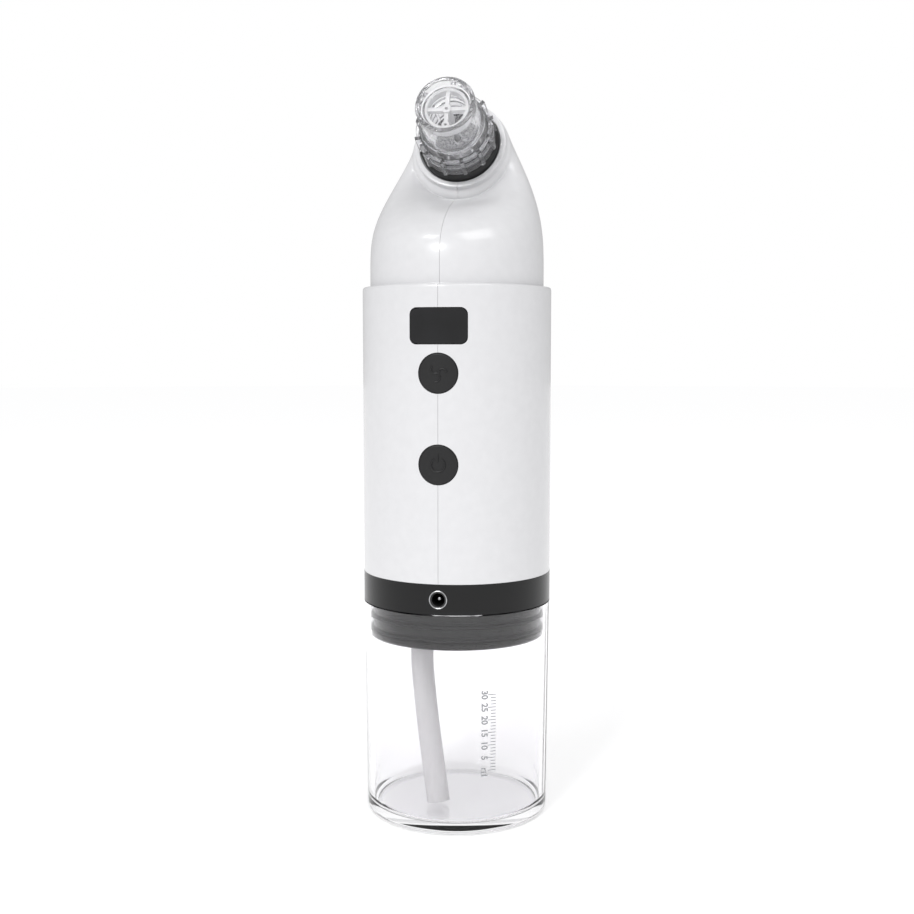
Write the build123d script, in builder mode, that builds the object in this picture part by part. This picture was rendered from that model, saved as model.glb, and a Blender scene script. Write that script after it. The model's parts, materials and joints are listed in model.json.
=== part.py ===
from build123d import *
import os
from math import cos, radians, sin, sqrt, tan

# Blackhead vacuum extractor: a clear water tank, a black ring with the tank's neck, a white
# two-part housing with a tilted nozzle, and a pump, battery and control board inside.
# Millimetres and degrees. Origin: centre of the tank's underside. +Z up, front towards -Y.

os.makedirs("parts", exist_ok=True)

# Outer body, from the bottom up
body_radius = 25.0
tank_height = 57.15
tank_foot_radius = 24.3
tank_wall = 1.7
tank_floor = 2.5
tank_foot_round = 1.5
tank_floor_round = 2.2
tank_bore_depth = 14.0
seat_gap = 0.25
ring_height = 7.8
sleeve_height = 75.05
sleeve_round = 0.7
shell_wall = 2.0
head_step = 2.05

# Head sections, each an oval: height above the sleeve's rim, then the draw-in from the head's
# cylinder at the front, at the back and at the sides
head_sections = (
    (-3.0, 0.0, 0.0, 0.0),
    (3.0, 0.0, 0.0, 0.0),
    (8.5, 0.0, 0.0, 0.0),
    (13.0, 1.65, 0.1, 0.2),
    (17.0, 6.65, 0.35, 0.95),
    (21.0, 13.95, 0.75, 2.2),
    (25.0, 21.15, 1.45, 3.75),
    (29.5, 24.45, 2.45, 5.85),
    (34.5, 25.45, 3.75, 8.25),
    (39.5, 25.95, 5.35, 10.35),
    (44.0, 26.75, 7.25, 12.75),
    (47.2, 27.9, 9.0, 15.4),
    (49.6, 29.4, 10.7, 18.0),
)
cavity_height = 44.0
crown_round = 1.2

# Nozzle: its axis leans forward, and its heights are along the axis from the housing's lip
nozzle_tilt = 71.1
lip_setback = 26.85
lip_height = 38.1
lip_radius = 12.4
neck_radius = 13.4
neck_root = -9.9
collar_radius, collar_edge = 13.0, -2.2
collar_root_radius, collar_root = 10.5, -7.0
socket_radius = 10.8
socket_flange_radius = 12.0
socket_flange_low, socket_flange_high = -4.2, -2.8
socket_top, socket_floor, socket_back = -0.5, -6.2, -9.8
boss_radius = 6.6
chamber_radius = 5.2
bayonet_ledge = -2.3
bayonet_radius = 9.15
bayonet_lug = 3.0
spigot_radius = 8.2
spigot_end = -4.8
ring_bore = 7.03
ring_barrel_radius = 9.1
ring_flange_radius = 9.95
ring_low, ring_middle, ring_high, ring_front = 2.2, 5.2, 8.4, 10.9
ring_flange = 0.7
lug_count = 12
lug_reach = 10.5
lug_width = 1.0
tip_radius = 7.7
tip_height = 21.1
tip_bead = 3.5
tip_flange_radius = 8.64
tip_flange_low, tip_flange_high = 11.15, 11.8
tip_spigot_low = 5.5
mouth_radius = 6.6
insert_radius = 5.62
insert_low, insert_high = 16.5, 18.86
spoke_width = 1.0
hub_radius = 1.15
feed_radius = 0.6

# Neck that the tank pushes on to
neck_depth = 9.5
tank_neck_radius = 22.6
neck_band_radius = 23.0
neck_band_height = 1.7
deck_thickness = 2.0
seal_heights = (2.5, 5.95)
seal_height = 1.2
groove_depth = 1.0
register_height = 3.0
register_wall = 1.6

# Front controls, by their distance below the sleeve's rim
display_drop = 10.4
display_width, display_height = 14.6, 9.0
display_corner, display_bulge = 1.7, 0.35
mode_drop, power_drop = 22.1, 44.9
button_radius = 5.0
button_flange = 0.9
button_depth = 3.0
button_travel = 0.5
jack_rise = 3.9
jack_nose_radius = 2.0
jack_bore_radius = 1.7
jack_width, jack_height, jack_length = 9.0, 5.6, 10.0

# Inside
board_setback = 7.8
board_thickness = 1.2
board_width = 27.0
board_low, board_high = 80.0, 136.0
switch_size, switch_depth = 6.0, 3.0
plunger_radius = 1.6
battery_radius, battery_length = 9.0, 65.0
battery_x, battery_y = -12.2, 3.0
pump_x, pump_y = 10.3, 4.0
motor_radius, motor_length = 10.4, 26.0
shaft_radius = 1.0
case_radius, case_height, case_wall = 10.8, 14.0, 1.2
crank_throw = 0.8
wobble_radius = 7.0
cover_height = 4.0
valve_height = 2.0
diaphragm_thickness = 1.0
hose_radius, hose_bore = 1.7, 1.0
dip_radius, dip_bore = 3.0, 2.05
dip_spigot = 4.4
screw_circle, screw_angles = 18.6, (60, 120, 240, 300)
screw_boss_radius = 3.0
wire_radius = 0.6
screw_hole, screw_head, screw_radius = 1.3, 2.2, 1.1
screw_length, screw_head_height = 14.0, 1.6
plug_length = 5.0
spigot_length = 6.0
return_stub = 2.0
port_radius = 0.7
jack_bore_depth, jack_pin_radius = 9.0, 0.5

port_level = -8.1
slot_width = 18.0
peg_setback, peg_boss, peg_radius, peg_length = 2.2, 2.6, 1.2, 3.0
boss_length = 6.0
screw_boss_height, rib_width = 10.5, 1.6
post_x, post_radius, post_screw_depth = 11.0, 2.0, 3.0
board_screw_radius, board_screw_head = 0.9, 1.7
display_depth, flange_thickness = 3.65, 0.7
stem_length, plunger_length = 0.9, 1.6
battery_cap = 0.8
chassis_x, chassis_wall = -1.85, 1.3
rail_width, rail_front = 0.9, 18.6
shelf_gap, shelf_thickness = 0.2, 1.4
clamp_wall, clamp_height = 1.2, 5.0

motor_boss_radius, shaft_depth = 3.0, 8.0
crank_low, crank_height, crank_radius = 1.9, 2.0, 3.6
wobble_rise, wobble_thickness, hub_disc_radius = 6.0, 1.2, 3.5
pin_radius, pin_engagement = 0.7, 1.6
cup_radius, cup_depth = 2.6, 1.0
outlet_length = 3.6
bayonet_turn = 60.0
supply_angle, suction_angle = -115.0, -65.0
port_end = 12.0
feed_seat, feed_end, feed_overlap = -4.0, 14.0, 1.5
seal_radius = 10.6
lug_phase = 15.0
filter_ledge, filter_thickness = 5.6, 2.0
insert_wall, spoke_depth, jet_radius = 0.7, 1.4, 0.4

# On the board's back: chips as x, height up the board, width, depth, tall; cans as x, height
board_chips = ((-5.0, 22.0, 6.0, 1.2, 5.0), (4.5, 36.0, 5.0, 1.2, 4.0), (8.5, 24.0, 3.0, 0.8, 3.0), (0.0, 12.0, 4.0, 1.0, 2.4))
board_cans = ((-9.5, 34.0), (5.5, 12.0))

# Clearances
seal_clearance = 0.05
slide_clearance = 0.1
free_clearance = 0.3
press_clearance = 0.02

# Levels and radii that follow
ring_bottom = tank_height + seat_gap
ring_top = ring_bottom + ring_height
rim = ring_top + sleeve_height
neck_bottom = ring_bottom - neck_depth
deck_top = neck_bottom + deck_thickness
tank_bore = body_radius - tank_wall
sleeve_bore = body_radius - shell_wall
head_radius = body_radius - head_step
head_bore = head_radius - shell_wall
board_front = -(body_radius - board_setback)
board_back = board_front + board_thickness
jack_level = ring_bottom + jack_rise
jack_front = -(sleeve_bore - register_wall - 0.7)
register_top = ring_top + register_height
boss_bottom = register_top + free_clearance
chassis_low = register_top + free_clearance
battery_low = chassis_low + shelf_thickness + shelf_gap
chassis_high = battery_low + battery_length + shelf_gap + shelf_thickness
rail_low, rail_high = boss_bottom + screw_boss_height, chassis_high - 4
motor_low = rail_low + free_clearance + shelf_thickness + shelf_gap
motor_top = motor_low + motor_length
case_top = motor_top + case_height
rise = (Align.CENTER, Align.CENTER, Align.MIN)
drop = (Align.CENTER, Align.CENTER, Align.MAX)
dip_place = (-8.5, -5.0)
return_place = (7.5, -6.0)

screw_places = [(screw_circle * cos(radians(a)), screw_circle * sin(radians(a))) for a in screw_angles]

tilt = radians(nozzle_tilt)
lip = (0, lip_setback - head_radius, rim + lip_height)
outward = (0, -sin(tilt), cos(tilt))
nozzle = Plane(origin=lip, x_dir=(1, 0, 0), z_dir=outward)
nozzle_section = Plane(origin=lip, x_dir=(1, 0, 0), z_dir=(0, -cos(tilt), -sin(tilt)))
nozzle_axis = Axis(lip, outward)
pump_axis = Axis((pump_x, pump_y, 0), (0, 0, 1))
pump_section = Plane(origin=(pump_x, pump_y, 0), x_dir=(1, 0, 0), z_dir=(0, -1, 0))


def save(piece, name):
    piece.part.label = name
    export_step(piece.part, f"parts/{name}.step")


def front_plane(height, depth=0.0, x=0.0):
    """Plane facing the front, its origin a depth behind the body's front line"""
    return Plane(origin=(x, depth - body_radius, height), x_dir=(1, 0, 0), z_dir=(0, -1, 0))


def corner_radii(points, share=0.45):
    """Largest arc that each corner's shorter run allows"""
    corners = [Vector(p) for p in points]
    radii = []
    for before, here, after in zip(corners, corners[1:], corners[2:]):
        turn = radians((here - before).get_angle(after - here))
        shorter = min((here - before).length, (after - here).length)
        radii.append(share * shorter / tan(turn / 2))
    return radii


def hose(points, outer, bore=0.0):
    """Round tube along straight runs joined by tangent arcs"""
    with BuildPart() as tube:
        with BuildLine() as route:
            FilletPolyline(*points, radius=corner_radii(points))
        with BuildSketch(Plane(origin=route.line @ 0, z_dir=route.line % 0)):
            Circle(outer)
            if bore:
                Circle(bore, mode=Mode.SUBTRACT)
        sweep(path=route.line)
    return tube


# Clear tank
with BuildPart() as tank:
    with BuildSketch(Plane.XZ):
        Polygon(
            (0, 0),
            (tank_foot_radius, 0),
            (body_radius, tank_height),
            (tank_bore, tank_height),
            (tank_bore, tank_height - tank_bore_depth),
            (tank_foot_radius - tank_wall, tank_floor),
            (0, tank_floor),
            align=None,
        )
    revolve(axis=Axis.Z)
    foot = tank.edges().filter_by_position(Axis.Z, -0.1, 0.1)
    fillet(foot, tank_foot_round)
    floor_edge = tank.edges().filter_by_position(Axis.Z, tank_floor - 0.1, tank_floor + 0.1)
    fillet(floor_edge, tank_floor_round)
    mouth = tank.edges().filter_by_position(Axis.Z, tank_height - 0.1, tank_height + 0.1)
    chamfer(mouth.sort_by(SortBy.RADIUS)[0], 0.4)
save(tank, "tank")

# Black ring with the neck, the deck over the tank, hose spigots and screw columns
screw_column_top = boss_bottom - slide_clearance
screw_seat = ring_bottom + 4
with BuildPart() as base_ring:
    with BuildSketch(Plane.XZ):
        Polygon(
            (0, neck_bottom),
            (neck_band_radius, neck_bottom),
            (neck_band_radius, neck_bottom + neck_band_height),
            (tank_neck_radius, neck_bottom + neck_band_height),
            (tank_neck_radius, ring_bottom),
            (body_radius, ring_bottom),
            (body_radius, ring_top),
            (sleeve_bore - slide_clearance, ring_top),
            (sleeve_bore - slide_clearance, ring_top + register_height),
            (sleeve_bore - register_wall, ring_top + register_height),
            (sleeve_bore - register_wall, ring_bottom + 1),
            (tank_neck_radius - groove_depth - 1.2, ring_bottom + 1),
            (tank_neck_radius - groove_depth - 1.2, deck_top),
            (0, deck_top),
            align=None,
        )
    revolve(axis=Axis.Z)
    chamfer(base_ring.edges().filter_by_position(Axis.Z, neck_bottom - 0.1, neck_bottom + 0.1), 0.6)
    with BuildSketch(Plane.XZ):
        for height in seal_heights:
            with Locations((tank_neck_radius, neck_bottom + height)):
                Rectangle(2 * groove_depth, seal_height + 0.1)
    revolve(axis=Axis.Z, mode=Mode.SUBTRACT)
    # Screw columns with room for the screw heads below
    with BuildSketch(Plane.XY.offset(neck_bottom)):
        with Locations(*screw_places):
            Circle(screw_boss_radius)
    extrude(amount=screw_column_top - neck_bottom)
    with Locations(*[(x, y, screw_seat) for x, y in screw_places]):
        Cylinder(screw_hole, screw_column_top - screw_seat, align=rise, mode=Mode.SUBTRACT)
        Cylinder(screw_head + slide_clearance, screw_seat - neck_bottom, align=drop, mode=Mode.SUBTRACT)
    # Spigots: a hose pushes on above the deck, the dip tube below it
    with Locations((*dip_place, deck_top), (*return_place, deck_top)):
        Cylinder(hose_bore, spigot_length, align=rise)
    with Locations((*dip_place, neck_bottom)):
        Cylinder(dip_bore, dip_spigot, align=drop)
    with Locations((*return_place, neck_bottom)):
        Cylinder(return_stub, dip_spigot - 2, align=drop)
    with Locations((*dip_place, neck_bottom), (*return_place, neck_bottom)):
        Cylinder(port_radius, 4 * dip_spigot, mode=Mode.SUBTRACT)
    # Ribs that carry the charging jack, and the hole for its nose
    for side in (-1, 1):
        with Locations((side * jack_width / 3, jack_front, deck_top)):
            Box(1.2, jack_length, jack_level - jack_height / 2 - deck_top, align=(Align.CENTER, Align.MIN, Align.MIN))
    with BuildSketch(front_plane(jack_level)):
        Circle(jack_nose_radius + slide_clearance)
    extrude(amount=-(body_radius + jack_front), mode=Mode.SUBTRACT)
save(base_ring, "base_ring")

# Two lip seals in the neck's grooves
with BuildPart() as tank_seals:
    groove_floor = tank_neck_radius - groove_depth
    with BuildSketch(Plane.XZ):
        for height in seal_heights:
            level = neck_bottom + height
            Polygon(
                (groove_floor, level - seal_height / 2),
                (tank_neck_radius, level - seal_height / 2),
                (tank_bore - seal_clearance, level - seal_height / 6),
                (tank_bore - seal_clearance, level + seal_height / 6),
                (tank_neck_radius, level + seal_height / 2),
                (groove_floor, level + seal_height / 2),
                align=None,
            )
    revolve(axis=Axis.Z)
save(tank_seals, "tank_seals")

# Dip tube: hangs from its spigot and leans to the tank's floor
dip_tube = hose(
    [
        (*dip_place, neck_bottom),
        (*dip_place, neck_bottom - 9),
        (dip_place[0] + 1.9, dip_place[1] - 1.4, neck_bottom - 24),
        (dip_place[0] + 5.2, dip_place[1] - 3.8, tank_floor + 1.2),
    ],
    dip_radius,
    dip_bore,
)
save(dip_tube, "dip_tube")

# Screws up through the columns into the housing, and the plugs that seal their holes
with BuildPart() as base_screws:
    with Locations(*[(x, y, screw_seat) for x, y in screw_places]):
        Cylinder(screw_head, screw_head_height, align=drop)
        Cylinder(screw_radius, screw_length, align=rise)
        with Locations((0, 0, -screw_head_height)):
            Box(2.4, 0.6, 1.2, mode=Mode.SUBTRACT)
            Box(0.6, 2.4, 1.2, mode=Mode.SUBTRACT)
save(base_screws, "base_screws")

with BuildPart() as screw_plugs:
    with Locations(*[(x, y, neck_bottom + 0.3) for x, y in screw_places]):
        Cylinder(screw_head + slide_clearance - press_clearance, plug_length, align=rise)
save(screw_plugs, "screw_plugs")

# Charging jack: body, nose and centre pin
with BuildPart() as dc_jack:
    with Locations((0, jack_front, jack_level)):
        Box(jack_width, jack_length, jack_height, align=(Align.CENTER, Align.MIN, Align.CENTER))
    with BuildSketch(front_plane(jack_level, slide_clearance)):
        Circle(jack_nose_radius)
    extrude(amount=-(body_radius + jack_front - slide_clearance))
    with BuildSketch(front_plane(jack_level)):
        Circle(jack_bore_radius)
    extrude(amount=-jack_bore_depth, mode=Mode.SUBTRACT)
save(dc_jack, "dc_jack")

with BuildPart() as jack_pin:
    with BuildSketch(front_plane(jack_level, jack_bore_depth)):
        Circle(jack_pin_radius)
    extrude(amount=jack_bore_depth - 1.6)
    fillet(jack_pin.edges().group_by(Axis.Y)[0], 0.3)
save(jack_pin, "jack_pin")


def on_nozzle(height):
    return nozzle.offset(height)


def head_form(inset, top):
    """Head as a loft of ovals up to a height, drawn in by a wall"""
    with BuildPart() as head:
        for height, front, back, side in head_sections:
            if height <= top:
                with BuildSketch(Plane.XY.offset(rim + height)):
                    with Locations((0, (front - back) / 2)):
                        Ellipse(head_radius - side - inset, head_radius - (front + back) / 2 - inset)
        loft()
    return head


# Housing as one skin: sleeve, head and collar outside, one cavity inside
with BuildPart() as skin:
    add(head_form(0, head_sections[-1][0]).part)
    fillet(skin.edges().group_by(Axis.Z)[-1], crown_round)
    with BuildSketch(nozzle_section):
        Polygon(
            (0, 0),
            (0, collar_root),
            (collar_root_radius, collar_root),
            (collar_radius, collar_edge),
            (lip_radius, collar_edge + 0.6),
            (lip_radius, -0.4),
            (lip_radius - 0.4, 0),
            align=None,
        )
    revolve(axis=nozzle_axis)
    with BuildSketch(Plane.XY.offset(ring_top)):
        Circle(body_radius)
    extrude(amount=sleeve_height)
    fillet(skin.edges().filter_by(GeomType.CIRCLE).filter_by_position(Axis.Z, rim - 0.1, rim + 0.1), sleeve_round)

# What is taken out of the skin: the cavity, less the holder round the nozzle's socket
with BuildPart() as hollow:
    add(head_form(shell_wall, cavity_height).part)
    with BuildSketch(on_nozzle(neck_root)):
        Circle(neck_radius)
    extrude(amount=-neck_root, mode=Mode.SUBTRACT)
    with BuildSketch(Plane.XY.offset(ring_top)):
        Circle(sleeve_bore)
    extrude(amount=sleeve_height - shell_wall)
    with BuildSketch(nozzle_section):
        Polygon(
            (0, 5),
            (socket_radius + slide_clearance, 5),
            (socket_radius + slide_clearance, socket_flange_high + slide_clearance),
            (socket_flange_radius + slide_clearance, socket_flange_high + slide_clearance),
            (socket_flange_radius + slide_clearance, socket_flange_low - slide_clearance),
            (socket_radius + slide_clearance, socket_flange_low - slide_clearance),
            (socket_radius + slide_clearance, socket_floor - slide_clearance),
            (boss_radius + slide_clearance, socket_floor - slide_clearance),
            (boss_radius + slide_clearance, neck_root - 3),
            (0, neck_root - 3),
            align=None,
        )
    revolve(axis=nozzle_axis)
    # Slot under the holder for the two hose ports
    with Locations(on_nozzle(socket_floor - slide_clearance)):
        with Locations((0, -boss_radius / 2, 0)):
            Box(slot_width, neck_radius, 5 * hose_radius, align=(Align.CENTER, Align.MAX, Align.MAX))


def window_outline(grow):
    """Display outline with slightly bowed top and bottom edges"""
    side, top = display_width / 2 + grow, display_height / 2 + grow
    shoulder = top - display_bulge
    with BuildSketch() as outline:
        with BuildLine():
            ThreePointArc((-side, shoulder), (0, top), (side, shoulder))
            Line((side, shoulder), (side, -shoulder))
            ThreePointArc((side, -shoulder), (0, -top), (-side, -shoulder))
            Line((-side, -shoulder), (-side, shoulder))
        make_face()
        fillet(outline.vertices(), display_corner + grow)
    return outline.sketch


# Openings in the sleeve's front wall
with BuildPart() as front_cuts:
    with BuildSketch(front_plane(rim - display_drop, -1)):
        add(window_outline(slide_clearance))
    extrude(amount=-2 * shell_wall - 1)
    for button_drop in (mode_drop, power_drop):
        with BuildSketch(front_plane(rim - button_drop, -1)):
            Circle(button_radius + slide_clearance)
        extrude(amount=-2 * shell_wall - 1)

# Pegs that line the halves up, by their depth and height, near the front and back walls
peg_places = (
    (-(sleeve_bore - peg_setback), ring_top + 8.5),
    (sleeve_bore - peg_setback, ring_top + 8.5),
    (-(head_bore - peg_setback), rim + 4),
    (head_bore - peg_setback, rim + 9),
)
board_posts = (board_low + 4, board_high - 4)


def housing_half(side):
    """Left half with side -1, right half with side 1"""
    with BuildPart() as half:
        add(skin.part)
        # Inner bosses and posts start inside the skin's outline and are trimmed by it
        add(hollow.part, mode=Mode.SUBTRACT)
        for depth, height in peg_places:
            with Locations(Location((0, depth, height), (0, 90 * side, 0))):
                Cylinder(peg_boss, boss_length, align=rise)
        with Locations(*[(x, y, boss_bottom) for x, y in screw_places if x * side > 0]):
            Cylinder(screw_boss_radius - 0.2, screw_boss_height, align=rise)
        for angle in screw_angles:
            if cos(radians(angle)) * side > 0:
                with Locations(Location((0, 0, boss_bottom), (0, 0, angle))):
                    with Locations((screw_circle, 0, 0)):
                        Box(
                            sleeve_bore + shell_wall / 2 - screw_circle, rib_width, screw_boss_height,
                            align=(Align.MIN, Align.CENTER, Align.MIN),
                        )
        with Locations(*[(x, y, boss_bottom) for x, y in screw_places]):
            Cylinder(screw_radius, screw_boss_height - 1, align=rise, mode=Mode.SUBTRACT)
        # Posts for the control board's screws
        for height in board_posts:
            post = Plane(origin=(side * post_x, board_front, height), x_dir=(1, 0, 0), z_dir=(0, -1, 0))
            with BuildSketch(post):
                Circle(post_radius)
            extrude(amount=sleeve_bore + board_front - 1.6)
            with BuildSketch(post):
                Circle(board_screw_radius)
            extrude(amount=post_screw_depth, mode=Mode.SUBTRACT)
        if side < 0:
            # Rails that hold the chassis plate's back edge
            rail_offset = chassis_wall / 2 + slide_clearance
            for edge in (chassis_x - rail_offset - rail_width, chassis_x + rail_offset):
                with Locations((edge, rail_front, rail_low)):
                    Box(
                        rail_width, sleeve_bore + 0.5 - rail_front, rail_high - rail_low,
                        align=(Align.MIN, Align.MIN, Align.MIN),
                    )
        add(front_cuts.part, mode=Mode.SUBTRACT)
        split(bisect_by=Plane.YZ, keep=Keep.TOP if side > 0 else Keep.BOTTOM)
        for depth, height in peg_places:
            if side < 0:
                with Locations(Location((-1, depth, height), (0, 90, 0))):
                    Cylinder(peg_radius, peg_length + 1, align=rise)
            else:
                with Locations(Location((0, depth, height), (0, 90, 0))):
                    Cylinder(peg_radius + slide_clearance / 2, peg_length + 0.5, align=rise, mode=Mode.SUBTRACT)
    return half


housing_left = housing_half(-1)
save(housing_left, "housing_left")
housing_right = housing_half(1)
save(housing_right, "housing_right")

# Smoked display window: a curved lens with a flange behind the wall
with BuildPart() as lens_bound:
    Cylinder(body_radius - 0.05, 3 * rim)
with BuildPart() as display_window:
    with BuildSketch(front_plane(rim - display_drop)):
        add(window_outline(0))
    extrude(amount=-display_depth)
    with BuildSketch(front_plane(rim - display_drop, display_depth)):
        RectangleRounded(display_width + 2, display_height + 1.6, display_corner)
    extrude(amount=-flange_thickness)
    add(lens_bound.part, mode=Mode.INTERSECT)
save(display_window, "display_window")

# Display module on the control board
with BuildPart() as display_module:
    module_depth = body_radius + board_front - display_depth - flange_thickness - 0.2
    with BuildSketch(Plane(origin=(0, board_front, rim - display_drop), x_dir=(1, 0, 0), z_dir=(0, -1, 0))):
        Rectangle(display_width - 1.6, display_height - 1)
    extrude(amount=module_depth)
    fillet(display_module.faces().sort_by(Axis.Y)[0].edges(), 0.4)
save(display_module, "display_module")


def push_button(drop):
    """Round cap with a flange behind the wall, a stem and a lightly domed face"""
    with BuildPart() as button:
        with BuildSketch(front_plane(rim - drop)):
            Circle(button_radius)
        extrude(amount=-button_depth)
        add(lens_bound.part, mode=Mode.INTERSECT)
        fillet(button.faces().sort_by(Axis.Y)[0].edges(), 0.35)
        with BuildSketch(front_plane(rim - drop, button_depth)):
            Circle(button_radius + button_flange)
        extrude(amount=-flange_thickness)
        with BuildSketch(front_plane(rim - drop, button_depth + flange_thickness)):
            Circle(plunger_radius)
        extrude(amount=-stem_length)
    return button


def plunger(drop):
    """Switch actuator that the button's stem pushes"""
    start = button_depth + flange_thickness + stem_length
    with BuildPart() as pin:
        with BuildSketch(front_plane(rim - drop, start)):
            Circle(plunger_radius)
        extrude(amount=-plunger_length)
    return pin


def tact_switch(drop):
    """Square switch on the board with a well for its plunger"""
    with BuildPart() as switch:
        base = Plane(origin=(0, board_front, rim - drop), x_dir=(1, 0, 0), z_dir=(0, -1, 0))
        with BuildSketch(base):
            RectangleRounded(switch_size, switch_size, 0.4)
        extrude(amount=switch_depth)
        with BuildSketch(base.offset(0.8)):
            Circle(plunger_radius + slide_clearance)
        extrude(amount=switch_depth, mode=Mode.SUBTRACT)
    return switch


for button_name, button_drop in (("mode", mode_drop), ("power", power_drop)):
    save(push_button(button_drop), f"{button_name}_button")
    save(plunger(button_drop), f"{button_name}_plunger")
    save(tact_switch(button_drop), f"{button_name}_switch")

# Control board, what is soldered to its back, and its screws
board_middle = (board_low + board_high) / 2
with BuildPart() as control_board:
    with Locations((0, board_front, board_middle)):
        Box(board_width, board_thickness, board_high - board_low, align=(Align.CENTER, Align.MIN, Align.CENTER))
    fillet(control_board.edges().filter_by(Axis.Y), 1.5)
    for height in board_posts:
        for side in (-1, 1):
            with Locations(Location((side * post_x, board_front, height), (-90, 0, 0))):
                Cylinder(board_screw_radius + slide_clearance, 6, mode=Mode.SUBTRACT)
save(control_board, "control_board")

with BuildPart() as board_components:
    for x, height, width, depth, tall in board_chips:
        with Locations((x, board_back, board_low + height)):
            Box(width, depth, tall, align=(Align.CENTER, Align.MIN, Align.CENTER))
    for x, height in board_cans:
        with Locations(Location((x, board_back, board_low + height), (-90, 0, 0))):
            Cylinder(1.8, 2.6, align=rise)
save(board_components, "board_components")

with BuildPart() as board_screws:
    for height in board_posts:
        for side in (-1, 1):
            with Locations(Location((side * post_x, board_back, height), (-90, 0, 0))):
                Cylinder(board_screw_head, 1.2, align=rise)
                Cylinder(board_screw_radius, board_thickness + post_screw_depth - 0.4, align=drop)
save(board_screws, "board_screws")

# Battery cell, shrink-wrapped, with a raised positive cap
with BuildPart() as battery_cell:
    with Locations((battery_x, battery_y, battery_low)):
        Cylinder(battery_radius, battery_length - battery_cap, align=rise)
    fillet(battery_cell.edges(), 0.5)
    with Locations((battery_x, battery_y, battery_low + battery_length - battery_cap)):
        Cylinder(3.2, battery_cap, align=rise)
save(battery_cell, "battery_cell")

# Chassis: a plate between battery and pump, two battery shelves, a motor shelf and its clamp
with BuildPart() as chassis:
    plate_front = battery_y - battery_radius + 1
    plate_back = sleeve_bore - peg_setback - peg_boss - free_clearance
    with Locations((chassis_x, plate_front, chassis_low)):
        Box(
            chassis_wall, plate_back - plate_front, chassis_high - chassis_low,
            align=(Align.CENTER, Align.MIN, Align.MIN),
        )
    with Locations((chassis_x, plate_back - 1, rail_low)):
        Box(
            chassis_wall, sleeve_bore - plate_back, rail_high - rail_low,
            align=(Align.CENTER, Align.MIN, Align.MIN),
        )
    for level in (battery_low - shelf_gap - shelf_thickness, battery_low + battery_length + shelf_gap):
        with BuildSketch(Plane.XY.offset(level)):
            with Locations((battery_x, battery_y)):
                Circle(battery_radius)
            with Locations((battery_x, battery_y)):
                Rectangle(chassis_x - battery_x, battery_radius, align=(Align.MIN, Align.CENTER))
        extrude(amount=shelf_thickness)
    with Locations((battery_x, battery_y - battery_radius, battery_low + battery_length + shelf_gap)):
        Box(8, 2 * battery_radius - 6, 3 * shelf_thickness, mode=Mode.SUBTRACT)
    with BuildSketch(Plane.XY.offset(motor_low - shelf_gap - shelf_thickness)):
        with Locations((pump_x, pump_y)):
            Circle(motor_radius + clamp_wall)
            Circle(motor_radius - 3, mode=Mode.SUBTRACT)
    extrude(amount=shelf_thickness)
    with BuildSketch(Plane.XY.offset(motor_low + motor_length / 3)):
        with Locations((pump_x, pump_y)):
            Circle(motor_radius + clamp_wall)
    extrude(amount=clamp_height)
    with BuildSketch(Plane.XY.offset(motor_low)):
        with Locations((pump_x, pump_y)):
            Circle(motor_radius + press_clearance)
    extrude(amount=motor_length, mode=Mode.SUBTRACT)
save(chassis, "chassis")

# Motor can with its bearing boss, shaft and terminals' end
with BuildPart() as motor_can:
    with BuildSketch(pump_section):
        Polygon(
            (0, motor_low),
            (motor_radius - 0.8, motor_low),
            (motor_radius, motor_low + 0.8),
            (motor_radius, motor_top - 0.6),
            (motor_radius - 0.6, motor_top),
            (motor_boss_radius, motor_top),
            (motor_boss_radius, motor_top + case_wall),
            (shaft_radius + seal_clearance, motor_top + case_wall),
            (shaft_radius + seal_clearance, motor_top - shaft_depth),
            (0, motor_top - shaft_depth),
            align=None,
        )
    revolve(axis=pump_axis)
save(motor_can, "motor_can")

with BuildPart() as motor_shaft:
    with Locations((pump_x, pump_y, motor_top - shaft_depth + free_clearance)):
        Cylinder(shaft_radius, shaft_depth + crank_low + crank_height - free_clearance, align=rise)
save(motor_shaft, "motor_shaft")

# Crank: its slanted bore drives the wobble plate's pin round a small circle
pivot = (pump_x, pump_y, motor_top + crank_low + crank_height + wobble_rise)
crank_level = motor_top + crank_low + crank_height
slant = (-crank_throw, 0, wobble_rise)
wobble = Plane(origin=pivot, x_dir=(wobble_rise, 0, crank_throw), z_dir=slant)
with BuildPart() as pump_crank:
    with Locations((pump_x, pump_y, motor_top + crank_low)):
        Cylinder(crank_radius, crank_height + pin_engagement, align=rise)
        Cylinder(shaft_radius, crank_height, align=rise, mode=Mode.SUBTRACT)
    with Locations(wobble):
        Cylinder(pin_radius + seal_clearance, wobble_rise - 0.2, align=drop, mode=Mode.SUBTRACT)
save(pump_crank, "pump_crank")

# Wobble plate: a disc with three arms under the diaphragm's cups, and its pin
with BuildPart() as wobble_plate:
    with Locations(wobble):
        Cylinder(pin_radius, wobble_rise - 0.5, align=drop)
        Cylinder(hub_disc_radius, wobble_thickness)
    with BuildSketch(wobble.offset(-wobble_thickness / 2)):
        with PolarLocations(wobble_radius / 2, 3):
            SlotOverall(wobble_radius, 4)
    extrude(amount=wobble_thickness)
save(wobble_plate, "wobble_plate")

# Pump case, diaphragm with three cups, valve plate and cover
with BuildPart() as pump_case:
    with Locations((pump_x, pump_y, motor_top)):
        Cylinder(case_radius, case_height, align=rise)
        with Locations((0, 0, case_wall)):
            Cylinder(case_radius - case_wall, case_height, align=rise, mode=Mode.SUBTRACT)
        Cylinder(motor_boss_radius + slide_clearance / 2, 4 * case_wall, mode=Mode.SUBTRACT)
save(pump_case, "pump_case")

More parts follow.
